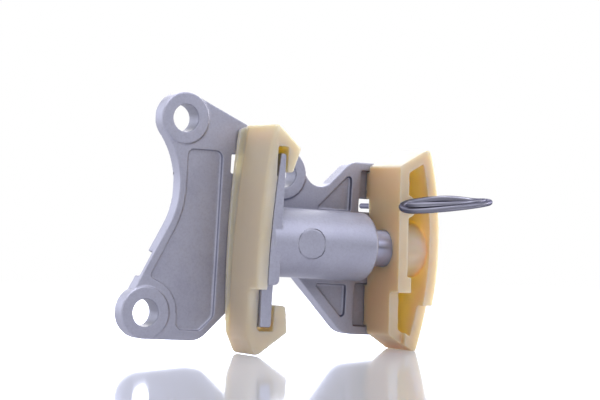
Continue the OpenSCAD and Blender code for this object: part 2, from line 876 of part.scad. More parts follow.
housing();
fixed_shoe();
moving_shoe();
plunger();
plunger_spring();
valve_seat();
check_ball();
ball_spring();
ball_cage();
lock_pin();
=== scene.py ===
"""Looks of a hydraulic timing chain tensioner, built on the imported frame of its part.

The bracket, both guide shoes, the plunger, the lock pin and the springs are dressed pieces that stand
for their nodes: each has the edges and the finish of the real one. The valve inside the barrel keeps
its nodes and gets their finishes.
"""

import logging
import math
from dataclasses import dataclass, field
from enum import Enum
from typing import Any, Mapping, Sequence, Union

import bpy
from mathutils import Matrix, Vector


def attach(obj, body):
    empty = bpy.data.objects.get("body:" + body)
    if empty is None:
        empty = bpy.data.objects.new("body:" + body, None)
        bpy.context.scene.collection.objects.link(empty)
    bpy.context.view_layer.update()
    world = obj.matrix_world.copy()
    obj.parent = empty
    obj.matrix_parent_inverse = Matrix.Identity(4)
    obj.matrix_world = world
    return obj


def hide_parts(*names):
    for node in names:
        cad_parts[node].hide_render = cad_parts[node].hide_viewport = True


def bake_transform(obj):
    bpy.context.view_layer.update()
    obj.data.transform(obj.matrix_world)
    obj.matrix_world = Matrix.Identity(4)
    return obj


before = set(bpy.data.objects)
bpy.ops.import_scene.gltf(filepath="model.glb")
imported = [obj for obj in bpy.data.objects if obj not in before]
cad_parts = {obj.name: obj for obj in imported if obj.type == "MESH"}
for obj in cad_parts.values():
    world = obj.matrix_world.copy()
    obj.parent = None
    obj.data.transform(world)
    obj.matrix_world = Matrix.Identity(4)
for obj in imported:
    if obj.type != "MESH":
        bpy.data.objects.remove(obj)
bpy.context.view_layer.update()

log = logging.getLogger("tensioner")
MM = 0.001
MERGE_MM = 0.002
FLAT_DEG = 0.3

Colour = tuple[float, float, float, float]
Triple = tuple[float, float, float]
Socket = Union[int, str]
StartedMaterial = tuple[bpy.types.Material, bpy.types.NodeTree, bpy.types.Node, bpy.types.NodeSocket]

WHITE: Colour = (1.0, 1.0, 1.0, 1.0)
OWN_SHELTER = {"samples": 12, "only_local": True}
MIX_COLOURS = {"data_type": "RGBA"}
MULTIPLY_COLOURS = {"data_type": "RGBA", "blend_type": "MULTIPLY"}


class Body(Enum):
    """Bodies of the part that a piece rides on."""

    BRACKET = "bracket"
    PLUNGER = "plunger"
    BALL = "ball"
    PIN = "pin"


class Slot(Enum):
    """Material slots of the part's record."""

    CAST_ALUMINIUM = "cast_aluminium"
    SHOE_NYLON = "shoe_nylon"
    GROUND_STEEL = "ground_steel"
    SPRING_STEEL = "spring_steel"
    PIN_WIRE = "pin_wire"


def linear(hex_colour: str) -> Colour:
    """Turns an sRGB colour into the linear one that shaders use.

    Args:
        hex_colour: Colour as "#rrggbb".

    Returns:
        Red, green, blue and an alpha of 1.
    """
    channels = [int(hex_colour[i : i + 2], 16) / 255 for i in (1, 3, 5)]
    red, green, blue = (c / 12.92 if c <= 0.04045 else ((c + 0.055) / 1.055) ** 2.4 for c in channels)
    return red, green, blue, 1.0


def per_metre(size_mm: float) -> float:
    """Scale of a texture on Object coordinates whose features are that many millimetres apart."""
    return 1 / (size_mm * MM)


def set_inputs(tree: bpy.types.NodeTree, node: bpy.types.Node, inputs: Mapping[Socket, Any]) -> None:
    """Sets inputs of a node.

    Args:
        tree: Tree that holds the node.
        node: Node whose inputs are set.
        inputs: Value of each input, or the output that is linked to it.
    """
    for socket, value in inputs.items():
        if isinstance(value, bpy.types.NodeSocket):
            tree.links.new(value, node.inputs[socket])
        else:
            node.inputs[socket].default_value = value


def add_node(
    tree: bpy.types.NodeTree,
    kind: str,
    settings: Mapping[str, Any] | None = None,
    inputs: Mapping[Socket, Any] | None = None,
    stops: Sequence[tuple[float, Colour]] = (),
) -> bpy.types.Node:
    """Adds one node with its settings, values and links.

    Args:
        tree: Tree that gets the node.
        kind: Type of the node without the leading "ShaderNode".
        settings: Values of the node's own properties.
        inputs: Value of each input, or the output that is linked to it.
        stops: Place and colour of each stop of a colour ramp, from low to high.

    Returns:
        The new node.
    """
    node = tree.nodes.new("ShaderNode" + kind)
    for name, value in (settings or {}).items():
        setattr(node, name, value)
    set_inputs(tree, node, inputs or {})
    for number, (position, colour) in enumerate(stops):
        elements = node.color_ramp.elements
        stop = elements[number] if number < 2 else elements.new(position)
        stop.position, stop.color = position, colour
    return node


def grey(value: float) -> Colour:
    """Grey stop of a ramp that stands for a number."""
    return value, value, value, 1.0


def new_material(name: str) -> StartedMaterial:
    """Starts a material.

    Args:
        name: Name of the real material and its process.

    Returns:
        The material, its tree, its Principled shader and the Object coordinates.
    """
    material = bpy.data.materials.new(name)
    material.use_nodes = True
    tree = material.node_tree
    tree.nodes.clear()
    shader = add_node(tree, "BsdfPrincipled")
    add_node(tree, "OutputMaterial", inputs={"Surface": shader.outputs["BSDF"]})
    place = add_node(tree, "TexCoord").outputs["Object"]
    return material, tree, shader, place


@dataclass(frozen=True)
class CastAluminium:
    """Die-cast aluminium, tumbled: a dull silver grey with fine grain, soft clouds, a few gas pits and
    painted shade in its recesses.
    """

    base: str = "#adaebf"
    shadow: str = "#a4a5b7"
    pit: str = "#4a4a55"
    roughness: float = 0.5
    cloud_mm: float = 11.0
    grain_mm: float = 0.55
    pit_cell_mm: float = 5.5
    shelter_mm: float = 10.0
    relief_mm: float = 0.05
    mark_at: tuple[float, float] = (0.5, -16.6)
    mark_r: float = 3.65
    mark_y: float = -19.2
    flash_mm: float = 2.4
    flash_wander_mm: float = 1.2
    flash_width_mm: float = 0.3

    def material(self) -> bpy.types.Material:
        """Builds the finish.

        Returns:
            The material of the bracket.
        """
        material, tree, shader, place = new_material("die_cast_aluminium_tumbled")
        clouds = add_node(
            tree,
            "TexNoise",
            inputs={"Vector": place, "Scale": per_metre(self.cloud_mm), "Detail": 4.0, "Roughness": 0.55},
        )
        # Real grain is about 0.1 mm: it is drawn at half a millimetre so that the render can show it
        grain = add_node(
            tree,
            "TexNoise",
            inputs={"Vector": place, "Scale": per_metre(self.grain_mm), "Detail": 3.0, "Roughness": 0.7},
        )
        tone = add_node(
            tree,
            "ValToRGB",
            inputs={"Fac": clouds.outputs["Fac"]},
            stops=[(0.3, linear(self.shadow)), (0.55, linear(self.base))],
        ).outputs["Color"]
        speckle = add_node(
            tree,
            "ValToRGB",
            inputs={"Fac": grain.outputs["Fac"]},
            stops=[(0.3, grey(0.85)), (0.62, grey(1.0))],
        ).outputs["Color"]
        body = add_node(tree, "Mix", MULTIPLY_COLOURS, {"Factor": 1.0, "A": tone, "B": speckle})
        # Painted shade: recesses and inner corners are darkened by how sheltered they are
        shelter = add_node(tree, "AmbientOcclusion", OWN_SHELTER, {"Distance": self.shelter_mm * MM})
        recess_shade = add_node(
            tree,
            "ValToRGB",
            inputs={"Fac": shelter.outputs["AO"]},
            stops=[(0.45, grey(0.68)), (0.85, grey(1.0))],
        ).outputs["Color"]
        # The body colour multiplied by the painted shade
        shaded_body = add_node(
            tree, "Mix", MULTIPLY_COLOURS, {"Factor": 1.0, "A": body.outputs["Result"], "B": recess_shade}
        )
        # Gas pits: one cell in ten holds a pit about 0.6 mm across
        cells = add_node(
            tree,
            "TexVoronoi",
            inputs={"Vector": place, "Scale": per_metre(self.pit_cell_mm), "Randomness": 1.0},
        )
        draw = add_node(tree, "SeparateColor", inputs={"Color": cells.outputs["Color"]}).outputs["Red"]
        chosen = add_node(tree, "Math", {"operation": "GREATER_THAN"}, {0: draw, 1: 0.9})
        hollow = add_node(
            tree,
            "ValToRGB",
            inputs={"Fac": cells.outputs["Distance"]},
            stops=[(0.045, grey(1.0)), (0.075, grey(0.0))],
        ).outputs["Color"]
        pits = add_node(tree, "Math", {"operation": "MULTIPLY"}, {0: chosen.outputs["Value"], 1: hollow})
        # Flash line round the ejector mark on the front of the barrel: it wanders and is darker in places
        flat = add_node(tree, "Mapping", inputs={"Vector": place, "Scale": (1.0, 0.0, 1.0)})
        away = add_node(
            tree,
            "VectorMath",
            {"operation": "DISTANCE"},
            {0: flat.outputs["Vector"], 1: (self.mark_at[0] * MM, 0.0, self.mark_at[1] * MM)},
        )
        wander = add_node(
            tree, "TexNoise", inputs={"Vector": place, "Scale": per_metre(self.flash_mm), "Detail": 3.0}
        )
        rim = add_node(
            tree,
            "Math",
            {"operation": "MULTIPLY_ADD"},
            {0: wander.outputs["Fac"], 1: self.flash_wander_mm * MM, 2: away.outputs["Value"]},
        )
        ring = add_node(
            tree,
            "Math",
            {"operation": "COMPARE"},
            {
                0: rim.outputs["Value"],
                1: (self.mark_r + self.flash_wander_mm / 2) * MM,
                2: self.flash_width_mm / 2 * MM,
            },
        )
        bite = add_node(
            tree,
            "ValToRGB",
            inputs={"Fac": wander.outputs["Fac"]},
            stops=[(0.4, grey(1.0)), (0.6, grey(0.2))],
        ).outputs["Color"]
        forward = add_node(tree, "SeparateXYZ", inputs={"Vector": place}).outputs["Y"]
        front = add_node(tree, "Math", {"operation": "LESS_THAN"}, {0: forward, 1: self.mark_y * MM})
        line = add_node(tree, "Math", {"operation": "MULTIPLY"}, {0: ring.outputs["Value"], 1: bite})
        flash = add_node(
            tree, "Math", {"operation": "MULTIPLY"}, {0: line.outputs["Value"], 1: front.outputs["Value"]}
        )
        dents = add_node(
            tree, "Math", {"operation": "MAXIMUM"}, {0: pits.outputs["Value"], 1: flash.outputs["Value"]}
        )
        spots = add_node(
            tree,
            "Math",
            {"operation": "MULTIPLY_ADD"},
            {0: flash.outputs["Value"], 1: 0.85, 2: pits.outputs["Value"]},
        )
        finished = add_node(
            tree,
            "Mix",
            MIX_COLOURS,
            {"Factor": spots.outputs["Value"], "A": shaded_body.outputs["Result"], "B": linear(self.pit)},
        )
        gloss = add_node(
            tree,
            "ValToRGB",
            inputs={"Fac": grain.outputs["Fac"]},
            stops=[(0.3, grey(self.roughness - 0.06)), (0.75, grey(self.roughness + 0.1))],
        ).outputs["Color"]
        relief = add_node(
            tree, "Math", {"operation": "SUBTRACT"}, {0: grain.outputs["Fac"], 1: dents.outputs["Value"]}
        )
        bump = add_node(
            tree,
            "Bump",
            inputs={"Strength": 0.22, "Distance": self.relief_mm * MM, "Height": relief.outputs["Value"]},
        )
        set_inputs(
            tree,
            shader,
            {
                "Base Color": finished.outputs["Result"],
                "Roughness": gloss,
                "Normal": bump.outputs["Normal"],
                "Metallic": 1.0,
            },
        )
        return material


@dataclass(frozen=True)
class MouldedNylon:
    """Heat-stabilised nylon, injection moulded: ivory and satin, with painted warm light in the hollows and
    where light comes through a wall.
    """

    name: str
    base: str = "#e5d4b8"
    pale: str = "#ebddc7"
    # Tint of the painted bounce light in the hollows
    bounce_tint: str = "#ffe6b0"
    # Tint of the painted light that comes through the thin walls
    backlit_tint: str = "#e2cfb0"
    scatter: Triple = (1.0, 0.92, 0.66)
    roughness: float = 0.4
    ior: float = 1.53
    cloud_mm: float = 14.0
    streak_mm: float = 1.1
    skin_mm: float = 0.7
    relief_mm: float = 0.04
    depth_mm: float = 4.6
    shelter_mm: float = 9.0
    # Faces turned this way get the painted light through the thin walls
    backlit_side: Triple = (-0.8, 0.0, -0.6)

    def material(self) -> bpy.types.Material:
        """Builds the finish.

        Returns:
            The material of a guide shoe.
        """
        material, tree, shader, place = new_material(self.name)
        clouds = add_node(
            tree,
            "TexNoise",
            inputs={"Vector": place, "Scale": per_metre(self.cloud_mm), "Detail": 3.0, "Roughness": 0.5},
        )
        tone = add_node(
            tree,
            "ValToRGB",
            inputs={"Fac": clouds.outputs["Fac"]},
            stops=[(0.35, linear(self.base)), (0.65, linear(self.pale))],
        ).outputs["Color"]
        # Painted bounce light: the hollows get a brighter warm tint, as light that bounces between walls
        # would give them
        shelter = add_node(tree, "AmbientOcclusion", OWN_SHELTER, {"Distance": self.shelter_mm * MM})
        bounce_glow = add_node(
            tree,
            "ValToRGB",
            inputs={"Fac": shelter.outputs["AO"]},
            stops=[(0.25, grey(0.85)), (0.75, grey(0.0))],
        ).outputs["Color"]
        # Painted light: faces turned towards the barrel's side and the foot get a tan tint for the light of
        # the hollow that a thin wall lets through
        facing = add_node(
            tree,
            "VectorMath",
            {"operation": "DOT_PRODUCT"},
            {0: add_node(tree, "TexCoord").outputs["Normal"], 1: self.backlit_side},
        )
        glow = add_node(
            tree,
            "ValToRGB",
            inputs={"Fac": facing.outputs["Value"]},
            stops=[(0.45, grey(0.0)), (0.8, grey(1.0))],
        ).outputs["Color"]
        backlit_wall = add_node(tree, "Mix", MIX_COLOURS, {"Factor": glow, "A": tone, "B": linear(self.backlit_tint)})
        colour = add_node(
            tree,
            "Mix",
            MIX_COLOURS,
            {"Factor": bounce_glow, "A": backlit_wall.outputs["Result"], "B": linear(self.bounce_tint)},
        )
        # Flow of the melt leaves faint streaks along the shoe
        stretched = add_node(tree, "Mapping", inputs={"Vector": place, "Scale": (1.0, 1.0, 0.06)})
        streaks = add_node(
            tree,
            "TexNoise",
            inputs={
                "Vector": stretched.outputs["Vector"],
                "Scale": per_metre(self.streak_mm),
                "Detail": 2.0,
            },
        )
        skin = add_node(
            tree,
            "TexNoise",
            inputs={"Vector": place, "Scale": per_metre(self.skin_mm), "Detail": 2.0, "Roughness": 0.5},
        )
        gloss = add_node(
            tree,
            "ValToRGB",
            inputs={"Fac": streaks.outputs["Fac"]},
            stops=[(0.35, grey(self.roughness - 0.05)), (0.7, grey(self.roughness + 0.08))],
        ).outputs["Color"]
        height = add_node(
            tree, "Math", {"operation": "ADD"}, {0: skin.outputs["Fac"], 1: streaks.outputs["Fac"]}
        )
        bump = add_node(
            tree,
            "Bump",
            inputs={"Strength": 0.12, "Distance": self.relief_mm * MM, "Height": height.outputs["Value"]},
        )
        set_inputs(
            tree,
            shader,
            {
                "Base Color": colour.outputs["Result"],
                "Roughness": gloss,
                "Normal": bump.outputs["Normal"],
                "IOR": self.ior,
                "Subsurface Weight": 1.0,
                "Subsurface Radius": self.scatter,
                "Subsurface Scale": self.depth_mm * MM,
            },
        )
        return material


@dataclass(frozen=True)
class TurnedSteel:
    """Steel with fine marks round the plunger axis: bright, with its reflections drawn out along it."""

    name: str
    base: str
    dark: str
    roughness: float
    ring_mm: float
    bump: float = 0.1
    spread: float = 0.3
    stretch: float = 0.0
    film_mm: float = 4.0
    relief_mm: float = 0.02

    def material(self) -> bpy.types.Material:
        """Builds the finish.

        Returns:
            The material of a turned, ground or pressed piece.
        """
        material, tree, shader, place = new_material(self.name)
        # Rings are fine along the axis and long round it
        rings = add_node(tree, "Mapping", inputs={"Vector": place, "Scale": (1.0, 0.04, 0.04)})
        marks = add_node(
            tree,
            "TexNoise",
            inputs={"Vector": rings.outputs["Vector"], "Scale": per_metre(self.ring_mm), "Detail": 4.0},
        )
        film = add_node(
            tree, "TexNoise", inputs={"Vector": place, "Scale": per_metre(self.film_mm), "Detail": 3.0}
        )
        tone = add_node(
            tree,
            "ValToRGB",
            inputs={"Fac": film.outputs["Fac"]},
            stops=[(0.3, linear(self.dark)), (0.65, linear(self.base))],
        ).outputs["Color"]
        gloss = add_node(
            tree,
            "ValToRGB",
            inputs={"Fac": marks.outputs["Fac"]},
            stops=[
                (0.3, grey(self.roughness * (1 - self.spread))),
                (0.7, grey(self.roughness * (1 + self.spread))),
            ],
        ).outputs["Color"]
        bump = add_node(
            tree,
            "Bump",
            inputs={
                "Strength": self.bump,
                "Distance": self.relief_mm * MM,
                "Height": marks.outputs["Fac"],
            },
        )
        # Marks round the piece draw its reflections out along the axis, a quarter turn from the marks
        lay = add_node(tree, "Tangent", {"direction_type": "RADIAL", "axis": "X"})
        set_inputs(
            tree,
            shader,
            {
                "Base Color": tone,
                "Roughness": gloss,
                "Normal": bump.outputs["Normal"],
                "Tangent": lay.outputs["Tangent"],
                "Metallic": 1.0,
                "Anisotropic": self.stretch,
                "Anisotropic Rotation": 0.25,
            },
        )
        return material


@dataclass(frozen=True)
class DrawnWire:
    """Spring steel wire, drawn and oiled: dark, with bright lines along it where the die has rubbed."""

    name: str = "spring_wire_drawn"
    base: str = "#7b7b89"
    line: str = "#ccccda"
    edge: str = "#80808c"
    roughness: float = 0.38
    line_mm: float = 0.45
    run_mm: float = 20.0
    girth_mm: float = 4.4
    length_mm: float = 170.0
    relief_mm: float = 0.03

    def material(self) -> bpy.types.Material:
        """Builds the finish, on a UV map that runs round the wire and along it.

        Returns:
            The material of the lock pin.
        """
        material, tree, shader, _ = new_material(self.name)
        along = add_node(tree, "TexCoord").outputs["UV"]
        drawn = add_node(
            tree,
            "Mapping",
            inputs={
                "Vector": along,
                "Scale": (self.girth_mm / self.line_mm, self.length_mm / self.run_mm, 1.0),
            },
        )
        lines = add_node(
            tree,
            "TexNoise",
            inputs={"Vector": drawn.outputs["Vector"], "Scale": 1.0, "Detail": 3.0, "Roughness": 0.6},
        )
        tone = add_node(
            tree,
            "ValToRGB",
            inputs={"Fac": lines.outputs["Fac"]},
            stops=[(0.58, linear(self.base)), (0.72, linear(self.line))],
        ).outputs["Color"]
        gloss = add_node(
            tree,
            "ValToRGB",
            inputs={"Fac": lines.outputs["Fac"]},
            stops=[(0.35, grey(self.roughness + 0.1)), (0.7, grey(self.roughness - 0.1))],
        ).outputs["Color"]
        bump = add_node(
            tree,
            "Bump",
            inputs={"Strength": 0.3, "Distance": self.relief_mm * MM, "Height": lines.outputs["Fac"]},
        )
        # The oil film keeps the wire dark where it is seen at a low angle
        set_inputs(
            tree,
            shader,
            {
                "Base Color": tone,
                "Roughness": gloss,
                "Normal": bump.outputs["Normal"],
                "Metallic": 1.0,
                "Specular Tint": linear(self.edge),
            },
        )
        return material


def deselect_all() -> None:
    """Deselects every object, so that an operator acts only on what is added or selected next."""
    for other in list(bpy.context.selected_objects):
        other.select_set(False)


def select_only(piece: bpy.types.Object) -> None:
    """Selects one object alone and makes it active.

    Args:
        piece: Object that the next operators act on.
    """
    deselect_all()
    piece.select_set(True)
    bpy.context.view_layer.objects.active = piece


def copy_of_node(node: str, piece: str) -> bpy.types.Object:
    """Copies a node's solid as the start of the piece that stands for it.

    Args:
        node: Name of the node.
        piece: Name of the new piece.

    Returns:
        The copy, with its loose triangles merged and its flat faces made whole.
    """
    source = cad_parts[node]
    copy = source.copy()
    copy.data = source.data.copy()
    copy.name = piece
    copy.data.name = piece
    copy.parent = None
    copy.matrix_world = Matrix.Identity(4)
    for key in list(copy.keys()):
        del copy[key]
    bpy.context.scene.collection.objects.link(copy)
    select_only(copy)
    bpy.ops.mesh.customdata_custom_splitnormals_clear()
    bpy.ops.object.mode_set(mode="EDIT")
    bpy.ops.mesh.select_all(action="SELECT")
    bpy.ops.mesh.remove_doubles(threshold=MERGE_MM * MM)
    bpy.ops.mesh.dissolve_limited(angle_limit=math.radians(FLAT_DEG), use_dissolve_boundaries=False)
    bpy.ops.object.mode_set(mode="OBJECT")
    return copy


def apply_modifier(piece: bpy.types.Object, kind: str, **settings: Any) -> None:
    """Adds a modifier with its settings and applies it.

    Args:
        piece: Object that gets it.
        kind: Type of the modifier.
        settings: Values of its properties.
    """
    select_only(piece)
    modifier = piece.modifiers.new(kind.lower(), kind)
    for name, value in settings.items():
        setattr(modifier, name, value)
    bpy.ops.object.modifier_apply(modifier=modifier.name)


def smooth(piece: bpy.types.Object, angle_deg: float = 40.0) -> None:
    """Shades a piece smooth, with flat faces kept flat.

    Args:
        piece: Object that is shaded.
        angle_deg: Angle between two faces past which their edge stays sharp.
    """
    select_only(piece)
    bpy.ops.object.shade_smooth_by_angle(angle=math.radians(angle_deg))
    apply_modifier(piece, "WEIGHTED_NORMAL", weight=50, keep_sharp=True)


@dataclass(frozen=True)
class MouldEdges:
    """Edges and corners as a die or a mould leaves them, a little rounded.

    The surface is drawn anew in small faces, smoothed over and over, and thinned where it is flat.
    """

    passes: int
    keep: float
    face_mm: float = 0.2

    def redraw(self, piece: bpy.types.Object) -> None:
        """Draws the piece's surface anew in faces of one size."""
        apply_modifier(piece, "REMESH", mode="VOXEL", voxel_size=self.face_mm * MM, use_smooth_shade=True)

    def soften(self, piece: bpy.types.Object) -> None:
        """Smooths a redrawn piece, thins its flat faces and shades it.

        Args:
            piece: Object whose surface has been drawn anew.
        """
        apply_modifier(piece, "SMOOTH", factor=0.5, iterations=self.passes)
        apply_modifier(piece, "DECIMATE", decimate_type="COLLAPSE", ratio=self.keep)
        smooth(piece)


def ease(share: float) -> float:
    """Smooth step from 0 to 1.

    Args:
        share: How far along, held between 0 and 1.

    Returns:
        The eased share.
    """
    held = min(max(share, 0.0), 1.0)
    return held * held * (3 - 2 * held)


def dress(
    piece: bpy.types.Object, material: bpy.types.Material, body: Body, stands_for: str
) -> bpy.types.Object:
    """Gives a finished piece its finish and its body, and hides the node that it stands for.

    Args:
        piece: Object at the origin, with its place in its mesh.
        material: Its finish.
        body: Body that it rides on.
        stands_for: Node that it replaces.

    Returns:
        The piece.
    """
    piece.data.materials.clear()
    piece.data.materials.append(material)
    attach(piece, body.value)
    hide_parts(stands_for)
    log.info("%s: %d faces, for node %s", piece.name, len(piece.data.polygons), stands_for)
    return piece


@dataclass
class Bracket:
    """Die-cast bracket: plate with bolt lugs, wing, barrel and rail in one piece."""

    finish: CastAluminium = field(default_factory=CastAluminium)
    edges: MouldEdges = field(default_factory=lambda: MouldEdges(passes=6, keep=0.34))

    def build(self) -> bpy.types.Object:
        """Rounds the casting's edges and dresses it.

        Returns:
            The bracket.
        """
        casting = copy_of_node("housing", "bracket_casting")
        self.edges.redraw(casting)
        self.edges.soften(casting)
        return dress(casting, self.finish.material(), Body.BRACKET, "housing")


@dataclass
class FixedShoe:
    """Guide shoe that is clipped over the bracket's rail."""

    finish: MouldedNylon = field(default_factory=lambda: MouldedNylon("nylon_fixed_shoe_moulded"))
    edges: MouldEdges = field(default_factory=lambda: MouldEdges(passes=12, keep=0.4))
    nose_x: float = -10.0
    nose_z: tuple[float, float] = (-36.0, 12.0)
    nose_passes: int = 70

    def round_noses(self, shoe: bpy.types.Object) -> None:
        """Rounds the two noses of the sliding face, where the chain runs on and off.

        Args:
            shoe: Shoe whose surface has been drawn anew.
        """
        low, high = (z * MM for z in self.nose_z)
        at_nose = [
            v.index for v in shoe.data.vertices if v.co.x < self.nose_x * MM and not low < v.co.z < high
        ]
        noses = shoe.vertex_groups.new(name="noses")
        noses.add(at_nose, 1.0, "REPLACE")
        apply_modifier(shoe, "SMOOTH", factor=0.5, iterations=self.nose_passes, vertex_group=noses.name)
        shoe.vertex_groups.clear()

    def build(self) -> bpy.types.Object:
        """Rounds the shoe's edges, most of all at its noses, and dresses it.

        Returns:
            The fixed shoe.
        """
        shoe = copy_of_node("fixed_shoe", "fixed_shoe_moulding")
        self.edges.redraw(shoe)
        self.round_noses(shoe)
        self.edges.soften(shoe)
        return dress(shoe, self.finish.material(), Body.BRACKET, "fixed_shoe")


@dataclass
class MovingShoe:
    """Guide shoe that the plunger presses against the chain."""

    finish: MouldedNylon = field(
        default_factory=lambda: MouldedNylon(
            "nylon_moving_shoe_moulded",
            base="#e7cfae",
            pale="#eed9bf",
            # This tint is painted bounce light in the hollows
            bounce_tint="#ffe8b4",
            # This tint is painted light that comes through the thin walls
            backlit_tint="#e8c595",
            scatter=(1.0, 0.88, 0.56),
        )
    )
    edges: MouldEdges = field(default_factory=lambda: MouldEdges(passes=7, keep=0.4))

    def build(self) -> bpy.types.Object:
        """Rounds the shoe's edges and dresses it.

        Returns:
            The moving shoe.
        """
        shoe = copy_of_node("moving_shoe", "moving_shoe_moulding")
        self.edges.redraw(shoe)
        self.edges.soften(shoe)
        return dress(shoe, self.finish.material(), Body.PLUNGER, "moving_shoe")


@dataclass
class Plunger:
    """Hollow plunger, ground to slide in the barrel."""

    finish: TurnedSteel = field(
        default_factory=lambda: TurnedSteel(
            "steel_hardened_and_ground",
            base="#b6bad4",
            dark="#a0a4be",
            roughness=0.36,
            ring_mm=0.25,
            bump=0.02,
            spread=0.06,
            stretch=0.9,
        )
    )
    edge_mm: float = 0.15
    edge_facets: int = 2
    edge_angle_deg: float = 28.0

    def build(self) -> bpy.types.Object:
        """Breaks the plunger's edges and dresses it.

        Returns:
            The plunger.
        """
        plunger = copy_of_node("plunger", "plunger_ground")
        apply_modifier(
            plunger,
            "BEVEL",
            width=self.edge_mm * MM,
            segments=self.edge_facets,
            limit_method="ANGLE",
            angle_limit=math.radians(self.edge_angle_deg),
            use_clamp_overlap=False,
        )
        smooth(plunger)
        return dress(plunger, self.finish.material(), Body.PLUNGER, "plunger")


@dataclass
class LockPin:
    """Wire pin with a pull ring, in millimetres.

    The ring's first round climbs over the bend between two shares of that round. The second round then
    leans on the first: from upright at the bend to nearly level at the right, given at each quarter.
    """

    piece: str = "lock_pin_wire"
    finish: DrawnWire = field(default_factory=DrawnWire)
    axis_x: float = 26.6
    axis_z: float = -6.2
    tail_y: float = 2.0
    bend_y: float = -21.5
    bend_r: float = 2.0
    ring_r: float = 10.5
    climb: tuple[float, float] = (0.7, 0.96)
    leans_deg: tuple[float, ...] = (90.0, 8.0, 32.0, 80.0)
    pitch: float = 1.38
    roll_deg: float = 9.9
    droop_deg: float = -0.3
    wire_d: float = 1.36
    shank_steps: int = 12
    bend_steps: int = 10
    lap_steps: int = 72
    roundness: int = 4
    facet_deg: float = 50.0

    def over_bend(self, lap: float) -> float:
        """Height of the first round, which climbs over the bend near its end."""
        start, end = self.climb
        return self.pitch * ease((lap - start) / (end - start))

    def ring_point(self, lap: float) -> Vector:
        """Place on the ring, whose second round lies inside the first and leans on it.

        Args:
            lap: Rounds from the bend.

        Returns:
            The point from the middle of the ring, in millimetres.
        """
        angle = math.radians(90 - 360 * lap)
        if lap <= 1:
            radius = self.ring_r
            height = self.over_bend(lap)
        else:
            quarters = (lap - 1) * 4
            last = min(int(quarters), len(self.leans_deg) - 2)
            here, after = self.leans_deg[last : last + 2]
            lean = math.radians(here + (after - here) * ease(quarters - last))
            radius = self.ring_r - self.pitch * math.cos(lean)
            height = self.over_bend(lap - 1) + self.pitch * math.sin(lean)
        return Vector((radius * math.cos(angle), radius * math.sin(angle), height))

    def path(self) -> list[Vector]:
        """Points along the middle of the wire, from its tail through the bend and round the ring.

        Returns:
            The points, in millimetres.
        """
        reach = self.bend_y - self.tail_y
        shank = [
            Vector((0, self.tail_y + reach * i / self.shank_steps, 0)) for i in range(self.shank_steps)
        ]
        turns = (math.radians(180 + 90 * i / self.bend_steps) for i in range(self.bend_steps + 1))
        bend = [
            Vector((self.bend_r + self.bend_r * math.cos(a), self.bend_y + self.bend_r * math.sin(a), 0))
            for a in turns
        ]
        laps = 1 + (len(self.leans_deg) - 1) / 4
        middle = Vector((self.bend_r, self.bend_y - self.bend_r - self.ring_r, 0))
        ring = [
            middle + self.ring_point(i / self.lap_steps) for i in range(1, round(laps * self.lap_steps) + 1)
        ]
        droop = Matrix.Rotation(math.radians(self.droop_deg), 3, "X")
        roll = Matrix.Rotation(math.radians(-self.roll_deg), 3, "Y")
        hinge = Vector((0, self.bend_y, 0))
        hung = [roll @ (droop @ (p - hinge) + hinge) for p in [*bend, *ring]]
        return [p + Vector((self.axis_x, 0, self.axis_z)) for p in [*shank, *hung]]

    def build(self) -> bpy.types.Object:
        """Sweeps the wire along its path and dresses it.

        Returns:
            The lock pin.
        """
        points = self.path()
        deselect_all()
        bpy.ops.curve.primitive_nurbs_path_add(location=(0, 0, 0))
        curve = bpy.context.object
        curve.name = self.piece
        curve.data.splines.clear()
        line = curve.data.splines.new("POLY")
        line.points.add(len(points) - 1)
        for target, point in zip(line.points, points):
            target.co = (*(point * MM), 1.0)
        curve.data.dimensions = "3D"
        curve.data.twist_mode = "MINIMUM"
        curve.data.bevel_depth = self.wire_d / 2 * MM
        curve.data.bevel_resolution = self.roundness
        curve.data.use_fill_caps = True
        select_only(curve)
        bpy.ops.object.convert(target="MESH")
        wire = bpy.context.object
        wire.name = self.piece
        wire.data.name = self.piece
        bpy.ops.object.mode_set(mode="EDIT")
        bpy.ops.mesh.select_all(action="SELECT")
        bpy.ops.mesh.remove_doubles(threshold=MERGE_MM * MM)
        bpy.ops.mesh.normals_make_consistent(inside=False)
        bpy.ops.object.mode_set(mode="OBJECT")
        bpy.ops.object.shade_smooth_by_angle(angle=math.radians(self.facet_deg))
        return dress(wire, self.finish.material(), Body.PIN, "lock_pin")


@dataclass
class CheckValve:
    """Pieces inside the barrel, which keep their nodes."""

    seat: TurnedSteel = field(
        default_factory=lambda: TurnedSteel(
            "steel_turned_valve_seat", base="#a6a7af", dark="#8f9098", roughness=0.28, ring_mm=0.4
        )
    )
    ball: TurnedSteel = field(
        default_factory=lambda: TurnedSteel(
            "bearing_steel_lapped", base="#c6c7cd", dark="#b6b7be", roughness=0.08, ring_mm=0.6, bump=0.02
        )
    )
    cage: TurnedSteel = field(
        default_factory=lambda: TurnedSteel(
            "steel_sheet_pressed", base="#95969e", dark="#7f8088", roughness=0.36, ring_mm=0.8, bump=0.08
        )
    )

    def build(self) -> None:
        """Dresses the nodes of the valve."""
        finishes = {
            "valve_seat": self.seat.material(),
            "check_ball": self.ball.material(),
            "ball_cage": self.cage.material(),
        }
        for name, material in finishes.items():
            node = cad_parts[name]
            node.data.materials.clear()
            node.data.materials.append(material)
            log.info("%s: node kept, finish %s", name, material.name)


